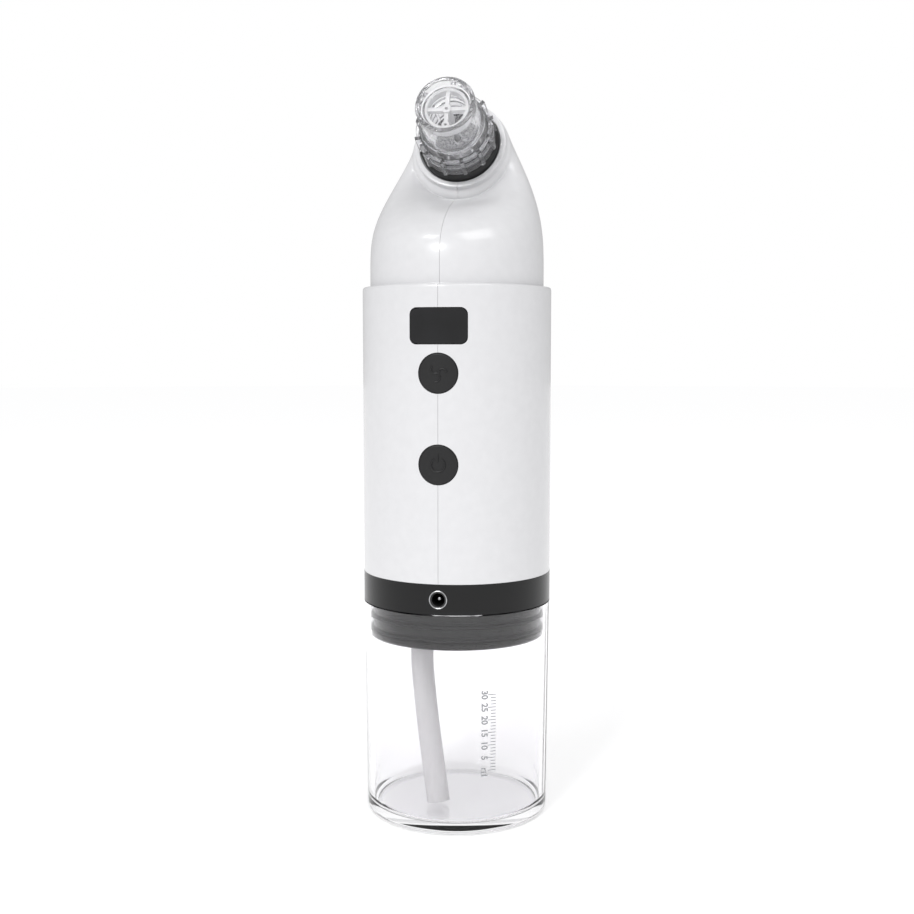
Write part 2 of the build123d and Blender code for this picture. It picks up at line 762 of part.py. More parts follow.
with BuildPart() as diaphragm:
    with Locations((pump_x, pump_y, case_top)):
        Cylinder(case_radius, diaphragm_thickness, align=rise)
        with PolarLocations(wobble_radius - cup_radius + 1, 3):
            Cylinder(cup_radius, cup_depth, align=drop)
            with Locations((0, 0, diaphragm_thickness)):
                Cylinder(cup_radius - 0.5, cup_depth + diaphragm_thickness - 0.5, align=drop, mode=Mode.SUBTRACT)
save(diaphragm, "diaphragm")

valve_low = case_top + diaphragm_thickness
with BuildPart() as valve_plate:
    with Locations((pump_x, pump_y, valve_low)):
        Cylinder(case_radius, valve_height, align=rise)
        with PolarLocations(wobble_radius - cup_radius + 1, 3):
            Cylinder(port_radius, 3 * valve_height, mode=Mode.SUBTRACT)
        Cylinder(port_radius, 3 * valve_height, mode=Mode.SUBTRACT)
save(valve_plate, "valve_plate")

cover_low = valve_low + valve_height
cover_top = cover_low + cover_height
outlet_level = cover_low + cover_height / 2
with BuildPart() as pump_cover:
    with Locations((pump_x, pump_y, cover_low)):
        Cylinder(case_radius, cover_height, align=rise)
    fillet(pump_cover.edges().group_by(Axis.Z)[-1], 0.8)
    with Locations((pump_x, pump_y, cover_top)):
        Cylinder(hose_bore, spigot_length - 1, align=rise)
    with Locations(Location((pump_x, pump_y - case_radius + 0.5, outlet_level), (90, 0, 0))):
        Cylinder(hose_bore, outlet_length, align=rise)
        Cylinder(port_radius, 4 * outlet_length, align=(Align.CENTER, Align.CENTER, Align.CENTER), mode=Mode.SUBTRACT)
    with Locations((pump_x, pump_y, cover_low)):
        Cylinder(port_radius, 3 * cover_height, align=rise, mode=Mode.SUBTRACT)
save(pump_cover, "pump_cover")



def port_plane(angle):
    """Plane on the nozzle's axis that looks out along a hose port"""
    direction = nozzle.x_dir * cos(radians(angle)) + nozzle.y_dir * sin(radians(angle))
    return Plane(origin=nozzle.origin + nozzle.z_dir * port_level, z_dir=direction)


supply_port, suction_port = port_plane(supply_angle), port_plane(suction_angle)

# Socket that the two housing halves clamp: bayonet ledge, chamber and two hose ports
with BuildPart() as nozzle_socket:
    with BuildSketch(nozzle_section):
        Polygon(
            (spigot_radius + slide_clearance, socket_top),
            (socket_radius, socket_top),
            (socket_radius, socket_flange_high),
            (socket_flange_radius, socket_flange_high),
            (socket_flange_radius, socket_flange_low),
            (socket_radius, socket_flange_low),
            (socket_radius, socket_floor),
            (boss_radius, socket_floor),
            (boss_radius, socket_back),
            (0, socket_back),
            (0, socket_back + 1.4),
            (chamber_radius, socket_back + 1.4),
            (chamber_radius, socket_floor + 0.8),
            (bayonet_radius + slide_clearance, socket_floor + 0.8),
            (bayonet_radius + slide_clearance, bayonet_ledge),
            (spigot_radius + slide_clearance, bayonet_ledge),
            align=None,
        )
    revolve(axis=nozzle_axis)
    # Ways in for the ring's two lugs, a turn away from where they lock
    for angle in (bayonet_turn, bayonet_turn + 180):
        with Locations(on_nozzle(bayonet_ledge - 0.1) * Location((0, 0, 0), (0, 0, angle))):
            with Locations((spigot_radius - 0.5, 0, 0)):
                Box(
                    bayonet_radius + slide_clearance + 0.5 - spigot_radius, bayonet_lug + 4 * slide_clearance, 3,
                    align=(Align.MIN, Align.CENTER, Align.MIN), mode=Mode.SUBTRACT,
                )
    # Ports: one opens into the chamber, the other runs on to the feed pipe in the middle
    with Locations(supply_port, suction_port.offset(boss_radius - 0.6)):
        Cylinder(hose_bore, port_end - boss_radius, align=rise)
    with Locations(supply_port.offset(boss_radius - 0.6)):
        Cylinder(hose_bore, port_end - boss_radius, align=rise)
    with Locations(on_nozzle(socket_back)):
        Cylinder(hose_bore, feed_seat - socket_back, align=rise)
    with Locations(supply_port, suction_port.offset(chamber_radius - 0.5)):
        Cylinder(port_radius, 2 * port_end, align=rise, mode=Mode.SUBTRACT)
    with Locations(on_nozzle(port_level)):
        Cylinder(port_radius, 2 * port_end, align=rise, mode=Mode.SUBTRACT)
save(nozzle_socket, "nozzle_socket")

# Thin pipe that feeds water to the middle of the tip
with BuildPart() as feed_pipe:
    with Locations(on_nozzle(port_level + hose_bore)):
        Cylinder(feed_radius, feed_end - port_level - hose_bore, align=rise)
        Cylinder(feed_radius / 2, 3 * feed_end, mode=Mode.SUBTRACT)
save(feed_pipe, "feed_pipe")

with BuildPart() as nozzle_seal:
    with BuildSketch(nozzle_section):
        Polygon(
            (spigot_radius + slide_clearance, socket_top),
            (seal_radius, socket_top),
            (seal_radius, ring_low - free_clearance - 0.6),
            (seal_radius - 0.6, ring_low - free_clearance),
            (spigot_radius + slide_clearance, ring_low - free_clearance),
            align=None,
        )
    revolve(axis=nozzle_axis)
save(nozzle_seal, "nozzle_seal")

# Clear lock ring: three flanges crossed by lugs, a bore for the tip, a bayonet spigot
with BuildPart() as lock_ring:
    with BuildSketch(nozzle_section):
        Polygon(
            (ring_bore, ring_front),
            (ring_bore + 1.2, ring_front),
            (ring_barrel_radius, ring_high + ring_flange),
            (ring_flange_radius, ring_high + ring_flange),
            (ring_flange_radius, ring_high),
            (ring_barrel_radius, ring_high),
            (ring_barrel_radius, ring_middle + ring_flange),
            (ring_flange_radius, ring_middle + ring_flange),
            (ring_flange_radius, ring_middle),
            (ring_barrel_radius, ring_middle),
            (ring_barrel_radius, ring_low + ring_flange),
            (ring_flange_radius, ring_low + ring_flange),
            (ring_flange_radius, ring_low),
            (spigot_radius, ring_low),
            (spigot_radius, spigot_end),
            (spigot_radius - 1.4, spigot_end),
            (spigot_radius - 1.4, ring_low),
            (filter_ledge, ring_low),
            (filter_ledge, ring_low + ring_flange),
            (ring_bore, ring_low + ring_flange),
            align=None,
        )
    revolve(axis=nozzle_axis)
    with Locations(on_nozzle(ring_low)):
        with PolarLocations(0, lug_count, start_angle=lug_phase):
            with Locations((ring_barrel_radius - 0.4, 0, 0.3)):
                Box(
                    lug_reach - ring_barrel_radius + 0.4, lug_width, ring_high + ring_flange - ring_low - 0.6,
                    align=(Align.MIN, Align.CENTER, Align.MIN),
                )
    with Locations(on_nozzle(spigot_end)):
        with PolarLocations(0, 2):
            with Locations((spigot_radius - 0.4, 0, 0)):
                Box(
                    bayonet_radius - spigot_radius + 0.25, bayonet_lug, bayonet_ledge - spigot_end - free_clearance,
                    align=(Align.MIN, Align.CENTER, Align.MIN),
                )
save(lock_ring, "lock_ring")

with BuildPart() as filter_disc:
    with Locations(on_nozzle(ring_low + ring_flange)):
        Cylinder(ring_bore - press_clearance, filter_thickness, align=rise)
        Cylinder(feed_radius + free_clearance, 4 * filter_thickness, mode=Mode.SUBTRACT)
save(filter_disc, "filter_disc")

# Clear suction tip and the cross that sits in its mouth
with BuildPart() as suction_tip:
    with BuildSketch(nozzle_section):
        Polygon(
            (mouth_radius, tip_height),
            (tip_radius, tip_height),
            (tip_radius, tip_height - tip_bead),
            (tip_radius - 0.3, tip_height - tip_bead - 0.4),
            (tip_radius, tip_flange_high + 0.6),
            (tip_flange_radius, tip_flange_high),
            (tip_flange_radius, tip_flange_low),
            (ring_bore - seal_clearance, tip_flange_low),
            (ring_bore - seal_clearance, tip_spigot_low),
            (ring_bore - 1.1, tip_spigot_low),
            (insert_radius - 0.6, insert_low),
            (insert_radius + press_clearance, insert_low),
            (insert_radius + press_clearance, insert_high),
            align=None,
        )
    revolve(axis=nozzle_axis)
    rim_edges = suction_tip.edges().filter_by(GeomType.CIRCLE).sort_by(nozzle_axis)[-2:]
    fillet(rim_edges, 0.45)
save(suction_tip, "suction_tip")

with BuildPart() as tip_insert:
    with Locations(on_nozzle(insert_low)):
        Cylinder(insert_radius, insert_high - insert_low, align=rise)
        Cylinder(insert_radius - insert_wall, 3 * (insert_high - insert_low), mode=Mode.SUBTRACT)
    with BuildSketch(on_nozzle(insert_high - 0.3)):
        Rectangle(2 * insert_radius - insert_wall, spoke_width)
        Rectangle(spoke_width, 2 * insert_radius - insert_wall)
    extrude(amount=-spoke_depth)
    with Locations(on_nozzle(insert_high)):
        Cylinder(hub_radius, insert_high - feed_end + feed_overlap, align=drop)
        with Locations((0, hub_radius - insert_radius, 0)):
            Cylinder(hub_radius - 0.15, insert_high - insert_low, align=drop)
    with Locations(on_nozzle(insert_high)):
        with Locations((0, 0, 0), (0, hub_radius - insert_radius, 0)):
            Cylinder(jet_radius, 6 * insert_high, mode=Mode.SUBTRACT)
    with Locations(on_nozzle(insert_high - 1)):
        Cylinder(feed_radius + seal_clearance, 3 * feed_overlap + 3, align=drop, mode=Mode.SUBTRACT)
save(tip_insert, "tip_insert")

# Hoses: from the dip tube's spigot to the tip, from the tip to the pump, and back to the tank
hose_start = boss_radius + slide_clearance
supply_hose = hose(
    [
        tuple(supply_port.offset(hose_start).origin),
        tuple(supply_port.offset(hose_start + 11).origin),
        (-8.0, -4.0, rim + 10),
        (-6.0, -10.5, rim - 2),
        (-5.0, -10.9, rim - 28),
        (-5.3, -10.4, board_low + 6),
        (-8.1, -7.5, boss_bottom),
        (*dip_place, deck_top + 12),
        (*dip_place, deck_top),
    ],
    hose_radius,
    hose_bore,
)
save(supply_hose, "supply_hose")

suction_hose = hose(
    [
        tuple(suction_port.offset(hose_start).origin),
        tuple(suction_port.offset(hose_start + 11).origin),
        (pump_x, pump_y, rim + 7.5),
        (pump_x, pump_y, cover_top),
    ],
    hose_radius,
    hose_bore,
)
save(suction_hose, "suction_hose")

outlet = pump_y - case_radius
return_hose = hose(
    [
        (pump_x, outlet, outlet_level),
        (pump_x, outlet - 5.8, outlet_level),
        (pump_x - 0.8, outlet - 5.5, outlet_level - 14),
        (7.6, -11.3, outlet_level - 30),
        (6.3, -10.8, motor_low),
        (6.6, -8.4, boss_bottom),
        (*return_place, deck_top + 12),
        (*return_place, deck_top),
    ],
    hose_radius,
    hose_bore,
)
save(return_hose, "return_hose")


def leads(routes):
    """Pair of wires in one node"""
    with BuildPart() as pair:
        for points in routes:
            add(hose(points, wire_radius).part)
    return pair


battery_top = battery_low + battery_length - battery_cap
battery_leads = leads(
    [
        [
            (x, -3.5, battery_top),
            (x, -3.5, battery_top + 4),
            (x, -10.0, battery_top + 3.5),
            (x + 0.5, -10.4, board_high - 9),
            (x + 0.5, board_back, board_high - 9),
        ]
        for x in (-12.4, -10.4)
    ]
)
save(battery_leads, "battery_leads")

motor_leads = leads(
    [
        [
            (x, 3.0, motor_low),
            (x, 3.0, motor_low - 4),
            (x, -11.2, motor_low - 4.5),
            (x - 0.4, -11.6, board_low + 12),
            (x - 0.4, board_back, board_low + 12),
        ]
        for x in (11.4, 13.2)
    ]
)
save(motor_leads, "motor_leads")

jack_leads = leads(
    [
        [
            (x, jack_front + jack_length, jack_level),
            (x, jack_front + jack_length + 3.2, jack_level),
            (x, -8.6, jack_level + 11),
            (x, -11.2, board_low + 4),
            (x, board_back, board_low + 4),
        ]
        for x in (-2.0, 2.0)
    ]
)
save(jack_leads, "jack_leads")
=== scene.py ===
# Pore vacuum on a pale table: clear tank, black ring, pearl white housing and clear tip
import json
from math import cos, degrees, radians, sin

import bmesh
import bpy
from mathutils import Matrix, Vector


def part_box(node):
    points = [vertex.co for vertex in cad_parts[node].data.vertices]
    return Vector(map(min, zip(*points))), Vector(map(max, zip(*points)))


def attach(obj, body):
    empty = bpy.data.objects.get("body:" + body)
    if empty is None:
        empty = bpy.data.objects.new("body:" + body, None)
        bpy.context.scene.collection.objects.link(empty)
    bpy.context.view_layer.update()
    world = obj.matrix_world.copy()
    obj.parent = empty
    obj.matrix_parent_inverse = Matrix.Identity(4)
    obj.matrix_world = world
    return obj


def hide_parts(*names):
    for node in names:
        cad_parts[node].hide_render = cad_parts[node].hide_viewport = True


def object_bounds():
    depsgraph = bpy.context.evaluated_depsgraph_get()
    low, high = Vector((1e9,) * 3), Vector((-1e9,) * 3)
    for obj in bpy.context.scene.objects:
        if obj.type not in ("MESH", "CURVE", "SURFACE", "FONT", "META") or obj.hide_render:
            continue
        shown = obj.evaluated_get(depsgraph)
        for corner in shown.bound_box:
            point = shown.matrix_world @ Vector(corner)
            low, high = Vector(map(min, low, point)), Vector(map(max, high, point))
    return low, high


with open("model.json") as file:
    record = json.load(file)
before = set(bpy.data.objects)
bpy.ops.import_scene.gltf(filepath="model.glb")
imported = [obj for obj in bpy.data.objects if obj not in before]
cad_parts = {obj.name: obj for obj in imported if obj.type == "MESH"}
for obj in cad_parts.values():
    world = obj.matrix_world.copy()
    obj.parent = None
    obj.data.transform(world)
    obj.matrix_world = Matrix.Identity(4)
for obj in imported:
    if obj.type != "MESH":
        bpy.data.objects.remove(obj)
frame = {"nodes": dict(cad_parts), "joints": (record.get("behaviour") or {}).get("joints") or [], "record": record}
cadBox = [list(corner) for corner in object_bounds()]
nodes = frame["nodes"]
print("frame loaded:", len(nodes), "nodes")

mm = 0.001
sideways = (1, 0, 0)
forward = (0, -1, 0)
upward = Vector((0, 0, 1))
sharpAngle = radians(35)  # an edge that turns more than this stays crisp
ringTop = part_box("housing_left")[0].z
lockHinge = next(j for j in frame["joints"] if j["name"] == "ring_twist")
lipCentre = Vector(lockHinge["pos_m"])  # middle of the housing's lip
lipOut = Vector(lockHinge["axis"]).normalized()  # the way the nozzle points


# sRGB hex to a linear colour
def linearColour(hexText):
    parts = [int(hexText[i:i + 2], 16) / 255 for i in (1, 3, 5)]
    return [c / 12.92 if c <= 0.04045 else ((c + 0.055) / 1.055) ** 2.4 for c in parts] + [1.0]


# One node with its settings, socket values and incoming links
def addNode(tree, kind, settings=(), values=(), links=()):
    node = tree.nodes.new(kind)
    for key, value in dict(settings).items():
        setattr(node, key, value)
    for key, value in dict(values).items():
        node.inputs[key].default_value = value
    for key, socket in dict(links).items():
        tree.links.new(socket, node.inputs[key])
    return node


# A principled material whose colour and bump come from one noise of a real grain size
def makeMaterial(name, look):
    material = bpy.data.materials.new(name)
    material.use_nodes = True
    tree = material.node_tree
    tree.nodes.clear()
    place = addNode(tree, "ShaderNodeTexCoord").outputs["Object"]
    stretch = addNode(tree, "ShaderNodeMapping", values={"Scale": look.get("stretch", (1, 1, 1))},
                      links={"Vector": place})
    grain = addNode(tree, look.get("pattern", "ShaderNodeTexNoise"),
                    values={"Scale": 1 / (look["grain"] * mm)},
                    links={"Vector": stretch.outputs["Vector"]})
    pattern = grain.outputs[0]
    tint = addNode(tree, "ShaderNodeValToRGB", links={"Fac": pattern})
    tint.color_ramp.elements[0].position = 0.3
    tint.color_ramp.elements[0].color = linearColour(look["dark"])
    tint.color_ramp.elements[1].position = 0.7
    tint.color_ramp.elements[1].color = linearColour(look["light"])
    bump = addNode(tree, "ShaderNodeBump",
                   values={"Strength": look.get("bump", 0.05), "Distance": look.get("depth", 0.02) * mm},
                   links={"Height": pattern})
    shader = addNode(tree, "ShaderNodeBsdfPrincipled", values=look["shader"],
                     links={"Base Color": tint.outputs["Color"], "Normal": bump.outputs["Normal"]})
    addNode(tree, "ShaderNodeOutputMaterial", links={"Surface": shader.outputs["BSDF"]})
    return material


# Each finish by its record slot: grain in millimetres, colours as sRGB hex
finishes = {
    # Pearl ABS, gloss moulded: a soft lacquer-like shine on a near-white body
    "white_shell": {"grain": 2.5, "dark": "#D8D8DA", "light": "#DBDBDD", "bump": 0.008,
                    "shader": {"Roughness": 0.3, "IOR": 1.53, "Coat Weight": 0.4, "Coat Roughness": 0.1}},
    # Smoked polycarbonate: dark mirror-like window
    "smoked_window": {"grain": 6.0, "dark": "#161617", "light": "#1C1C1E", "bump": 0.005,
                      "shader": {"Roughness": 0.1, "IOR": 1.58, "Specular IOR Level": 0.45}},
    # Black ABS, fine spark-eroded texture
    "black_plastic": {"grain": 0.25, "dark": "#19191A", "light": "#212123", "bump": 0.2,
                      "shader": {"Roughness": 0.5, "IOR": 1.53}},
    # Solder-masked fibreglass: green with a faint weave
    "circuit_board": {"grain": 0.6, "dark": "#0E4A2A", "light": "#14603A", "bump": 0.15,
                      "shader": {"Roughness": 0.38, "IOR": 1.5}},
    # Drawn steel: brushed along its length
    "steel": {"grain": 0.3, "stretch": (1, 1, 0.08), "dark": "#A9AAAC", "light": "#C6C7C9", "bump": 0.15,
              "shader": {"Roughness": 0.28, "Metallic": 1.0}},
    # Black ABS, polished mould: a satin gloss with soft bands of reflected light
    "black_ring": {"grain": 0.8, "dark": "#070708", "light": "#0A0A0B", "bump": 0.02,
                   "shader": {"Roughness": 0.22, "IOR": 1.53, "Specular IOR Level": 0.3}},
    # Nitrile rubber: dull black
    "black_rubber": {"grain": 0.35, "dark": "#111112", "light": "#1B1B1C", "bump": 0.2,
                     "shader": {"Roughness": 0.62, "IOR": 1.52}},
    # Extruded silicone: milky, light shines a little way in
    "milky_silicone": {"grain": 1.2, "stretch": (1, 1, 0.2), "dark": "#F2F1F2", "light": "#F9F8F9",
                       "bump": 0.04,
                       "shader": {"Roughness": 0.34, "IOR": 1.42, "Transmission Weight": 0.3}},
    # Shrink film: blue with a slight orange peel
    "battery_wrap": {"grain": 1.5, "dark": "#1F4E8C", "light": "#2A62A6", "bump": 0.1,
                     "shader": {"Roughness": 0.3, "IOR": 1.5}},
    # Grey acetal: waxy, matt
    "grey_plastic": {"grain": 0.3, "dark": "#8E9093", "light": "#9C9EA1", "bump": 0.12,
                     "shader": {"Roughness": 0.45, "IOR": 1.48}},
    # Wire insulation: soft red vinyl
    "wire_sleeve": {"grain": 0.5, "dark": "#9E1F1C", "light": "#B32824", "bump": 0.08,
                    "shader": {"Roughness": 0.42, "IOR": 1.52}},
    # Soft-touch button caps: fine grain, dark grey
    "button_plastic": {"grain": 0.3, "dark": "#19191A", "light": "#1F1F20", "bump": 0.15,
                       "shader": {"Roughness": 0.42, "IOR": 1.5, "Specular IOR Level": 0.35}},
    # Clear styrene-acrylonitrile: polished. Its IOR is kept under the plastic's own, so that the wall
    # stays light and only its edges darken
    "clear_tank": {"grain": 9.0, "dark": "#FDFCFE", "light": "#FEFEFF", "bump": 0.003,
                   "shader": {"Roughness": 0.0, "IOR": 1.4, "Transmission Weight": 1.0}},
    # Clear polycarbonate: polished. Its IOR is kept well under the plastic's own and a little of it is
    # milky, so that the many small curves stay light
    "clear_tip": {"grain": 5.0, "dark": "#FAFAFC", "light": "#FDFDFE", "bump": 0.003,
                  "shader": {"Roughness": 0.0, "IOR": 1.22, "Transmission Weight": 0.93}},
    # Open-cell foam: grey, pitted; the colour runs from light cell rims to dark pit bottoms, which is painted
    # shade in the pits
    "filter_foam": {"grain": 0.45, "pattern": "ShaderNodeTexVoronoi", "dark": "#6E6E70", "light": "#B9B9BA",
                    "bump": 0.8, "depth": 0.2, "shader": {"Roughness": 0.9, "IOR": 1.4}},
}
materials = {slot: makeMaterial(slot, look) for slot, look in finishes.items()}

# Clear polycarbonate left frosted by its mould, so the cross in the tip catches light
frosted = makeMaterial("frosted_insert", {
    "grain": 0.5, "dark": "#F6F6F8", "light": "#FDFDFE", "bump": 0.05,
    "shader": {"Roughness": 0.25, "IOR": 1.4, "Transmission Weight": 0.45}})

# Every CAD node takes the finish of its slot
for entry in frame["record"]["subparts"]:
    mesh = nodes[entry["node"]].data
    if not mesh.materials:
        mesh.materials.append(None)
    for index in range(len(mesh.materials)):
        mesh.materials[index] = materials[entry["material_slot"]]
nodes["tip_insert"].data.materials[0] = frosted
print("materials:", len(materials))


# Normals made alike, then turned to point away from the mesh's middle
def faceOutwards(bm):
    bmesh.ops.recalc_face_normals(bm, faces=bm.faces)
    middle = sum((vert.co for vert in bm.verts), Vector()) / len(bm.verts)
    if sum(face.normal.dot(face.calc_center_median() - middle) * face.calc_area() for face in bm.faces) < 0:
        bmesh.ops.reverse_faces(bm, faces=bm.faces)


# A new object in the scene for a mesh, curve, lamp or camera
def addObject(name, data):
    made = bpy.data.objects.new(name, data)
    bpy.context.scene.collection.objects.link(made)
    return made


# What a bmesh holds, as a new object
def meshObject(name, bm):
    mesh = bpy.data.meshes.new(name)
    bm.to_mesh(mesh)
    bm.free()
    return addObject(name, mesh)


# A finished mesh as a piece that rides a body and takes a slot's finish
def addPiece(name, bm, slotName, body):
    faceOutwards(bm)
    piece = meshObject(name, bm)
    piece.data.materials.append(materials[slotName])
    piece.data.shade_smooth()
    piece.data.set_sharp_from_angle(angle=sharpAngle)
    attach(piece, body)
    return piece


# A closed loop of edges on an oval
def addRing(bm, matrix, alongX, alongY, segments):
    loop = bmesh.ops.create_circle(bm, segments=segments, radius=1,
                                   matrix=matrix @ Matrix.Diagonal((alongX, alongY, 1, 1)))
    return list(dict.fromkeys(edge for vert in loop["verts"] for edge in vert.link_edges))


# A matrix at a centre with its X along across and its Z outward
def facing(centre, across, outward):
    along = Vector(across).normalized()
    out = Vector(outward).normalized()
    up = out.cross(along)
    turn = Matrix((along, up, out)).transposed().to_4x4()
    return Matrix.Translation(centre) @ turn


# The piece's mesh with its modifiers worked out, as a new bmesh
def applied(piece):
    depsgraph = bpy.context.evaluated_depsgraph_get()
    bm = bmesh.new()
    bm.from_object(piece, depsgraph)
    return bm


# Housing: sleeve and head in one skin that turns from upright to the nozzle's line
housing = {
    "segments": 64,
    "sleeveRadius": 25.0,
    "headRadius": 22.95,
    "sleeveHeight": 75.05,
    "wall": 1.5,
    "seam": 0.035,  # half of the gap between the two halves
    "smoothing": 2,
    # heights above the sleeve's foot and radii, up the sleeve and over its rounded rim
    "sleeve": ((0, 0), (0.4, 0), (1.2, 0), (12, 0), (25, 0), (38, 0), (50, 0), (62, 0), (71, 0), (73.6, 0),
               (74.3, 0), (74.75, 0.1), (74.98, 0.33), (75.06, 0.7), (75.07, 1.3), (75.08, 1.8),
               (75.14, 2.02), (75.4, 2.05), (76.2, 2.05)),
    # tilted ovals above the rim: front height, front draw-in, back height, back draw-in, side draw-in
    "head": ((3.0, 0.0, 3.0, 0.0, 0.0), (8.0, 0.05, 9.0, 0.0, 0.0), (12.4, 1.2, 16.0, 0.1, 0.35),
             (16.4, 5.6, 24.5, 0.75, 1.75), (20.2, 12.5, 33.5, 2.4, 4.3), (22.4, 18.4, 41.6, 5.3, 7.2),
             (23.3, 21.9, 46.2, 8.2, 8.9)),
    # heights along the nozzle from the lip: half width, reach above and below the axis
    "neck": ((-2.9, 13.35, 12.85, 14.75), (-2.3, 13.2, 12.8, 14.55), (-1.95, 12.8, 12.65, 13.8),
             (-1.75, 12.5, 12.5, 12.8), (-1.5, 12.4, 12.4, 12.4),
             (-0.9, 12.4, 12.4, 12.4), (-0.35, 12.4, 12.4, 12.4), (-0.1, 12.3, 12.3, 12.3),
             (-0.01, 12.05, 12.05, 12.05), (0.0, 11.5, 11.5, 11.5), (-0.02, 10.98, 10.98, 10.98)),
}
rimHeight = ringTop + housing["sleeveHeight"] * mm


# Rings of the whole outside, bridged one to the next
def housingSkin():
    bm = bmesh.new()
    segments = housing["segments"]
    rings = []
    for height, drawIn in housing["sleeve"]:
        radius = (housing["sleeveRadius"] - drawIn) * mm
        centre = Vector((0, 0, ringTop + height * mm))
        rings.append(addRing(bm, facing(centre, sideways, upward), radius, radius, segments))
    headRadius = housing["headRadius"] * mm
    for frontHeight, front, backHeight, back, side in housing["head"]:
        near = Vector((0, front * mm - headRadius, rimHeight + frontHeight * mm))
        far = Vector((0, headRadius - back * mm, rimHeight + backHeight * mm))
        normal = Vector(sideways).cross(far - near)
        rings.append(addRing(bm, facing((near + far) / 2, sideways, normal), headRadius - side * mm,
                             (far - near).length / 2, segments))
    for height, halfWidth, above, below in housing["neck"]:
        place = facing(lipCentre + lipOut * height * mm, sideways, lipOut)
        place = place @ Matrix.Translation((0, (above - below) / 2 * mm, 0))
        rings.append(addRing(bm, place, halfWidth * mm, (above + below) / 2 * mm, segments))
    for low, high in zip(rings, rings[1:]):
        bmesh.ops.bridge_loops(bm, edges=low + high)
    bmesh.ops.recalc_face_normals(bm, faces=bm.faces)
    skin = meshObject("housingSkin", bm)
    smoother = skin.modifiers.new("smooth", "SUBSURF")
    smoother.levels = smoother.render_levels = housing["smoothing"]
    return skin


# Openings in the sleeve's front wall
openings = {
    "line": 24.5,  # how far in front of the axis the prisms are centred
    "depth": 8.0,
    "buttonRadius": 5.12,
    "buttonSegments": 96,
    "displayWidth": 14.8,
    "displayHeight": 9.2,
    "displayCorner": 1.8,
    "cornerSegments": 8,
}


# Prisms for the display's opening and the two buttons' holes
def frontCutters():
    cutters = []
    depth = openings["depth"] * mm
    radius = openings["buttonRadius"] * mm
    for name in ("mode_button", "power_button"):
        low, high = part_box(name)
        bm = bmesh.new()
        centre = ((low.x + high.x) / 2, -openings["line"] * mm, (low.z + high.z) / 2)
        bmesh.ops.create_cone(bm, cap_ends=True, segments=openings["buttonSegments"], radius1=radius,
                              radius2=radius, depth=depth, matrix=facing(centre, sideways, forward))
        cutters.append(meshObject(name + "Hole", bm))
    low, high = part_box("display_window")
    bm = bmesh.new()
    centre = (0, -openings["line"] * mm, (low.z + high.z) / 2)
    size = Matrix.Diagonal((openings["displayWidth"] * mm, openings["displayHeight"] * mm, depth, 1))
    bmesh.ops.create_cube(bm, size=1, matrix=facing(centre, sideways, forward) @ size)
    corners = [edge for edge in bm.edges if abs((edge.verts[0].co - edge.verts[1].co).normalized().y) > 0.9]
    bmesh.ops.bevel(bm, geom=corners, offset=openings["displayCorner"] * mm, profile=0.5,
                    segments=openings["cornerSegments"], affect="EDGES", material=-1)
    cutters.append(meshObject("displayHole", bm))
    return cutters


skin = housingSkin()
bpy.context.view_layer.update()
for side, halfName, pieceName in ((-1, "housing_left", "shellLeft"), (1, "housing_right", "shellRight")):
    bm = applied(skin)
    geometry = bm.verts[:] + bm.edges[:] + bm.faces[:]
    bmesh.ops.bisect_plane(bm, geom=geometry, plane_co=(side * housing["seam"] * mm, 0, 0),
                           plane_no=(side, 0, 0), clear_inner=True)
    half = addPiece(pieceName, bm, "white_shell", "handle")
    wall = half.modifiers.new("wall", "SOLIDIFY")
    wall.thickness = housing["wall"] * mm
    wall.offset = -1
    cutters = frontCutters()
    for cutter in cutters:
        hole = half.modifiers.new("hole", "BOOLEAN")
        hole.object = cutter
        hole.solver = "EXACT"
    bm = applied(half)
    half.modifiers.clear()
    bm.to_mesh(half.data)
    bm.free()
    half.data.shade_smooth()
    half.data.set_sharp_from_angle(angle=sharpAngle)
    for cutter in cutters:
        bpy.data.objects.remove(cutter)
    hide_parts(halfName)
bpy.data.objects.remove(skin)
print("housing halves made")


# Raised pictograms on the buttons
icons = {
    "wire": 0.26,
    "powerRadius": 1.75,
    "powerOpening": 70,
    "powerStroke": 1.9,
    "blades": 3,
    "bladeRadius": 1.15,
    "bladeStart": 20,
    "bladeSweep": 200,
    "bladeSteps": 14,
    "sink": 0.05,  # how far the middle of the bars is below the cap's face
}


# A thin round bar bent into an arc about the place's Z
def arcBar(bm, place, radius, startAngle, sweepAngle, thickness, steps=24):
    start = place @ Matrix.Rotation(startAngle, 4, "Z") @ Matrix.Translation((radius, 0, 0))
    profile = bmesh.ops.create_circle(bm, cap_ends=True, segments=8, radius=thickness,
                                      matrix=start @ Matrix.Rotation(radians(90), 4, "X"))
    edges = dict.fromkeys(edge for vert in profile["verts"] for edge in vert.link_edges)
    faces = dict.fromkeys(face for vert in profile["verts"] for face in vert.link_faces)
    geometry = profile["verts"] + list(edges) + list(faces)
    bmesh.ops.spin(bm, geom=geometry, cent=place.translation, axis=place.to_3x3() @ Vector((0, 0, 1)),
                   angle=sweepAngle, steps=steps, use_merge=False, use_duplicate=False)


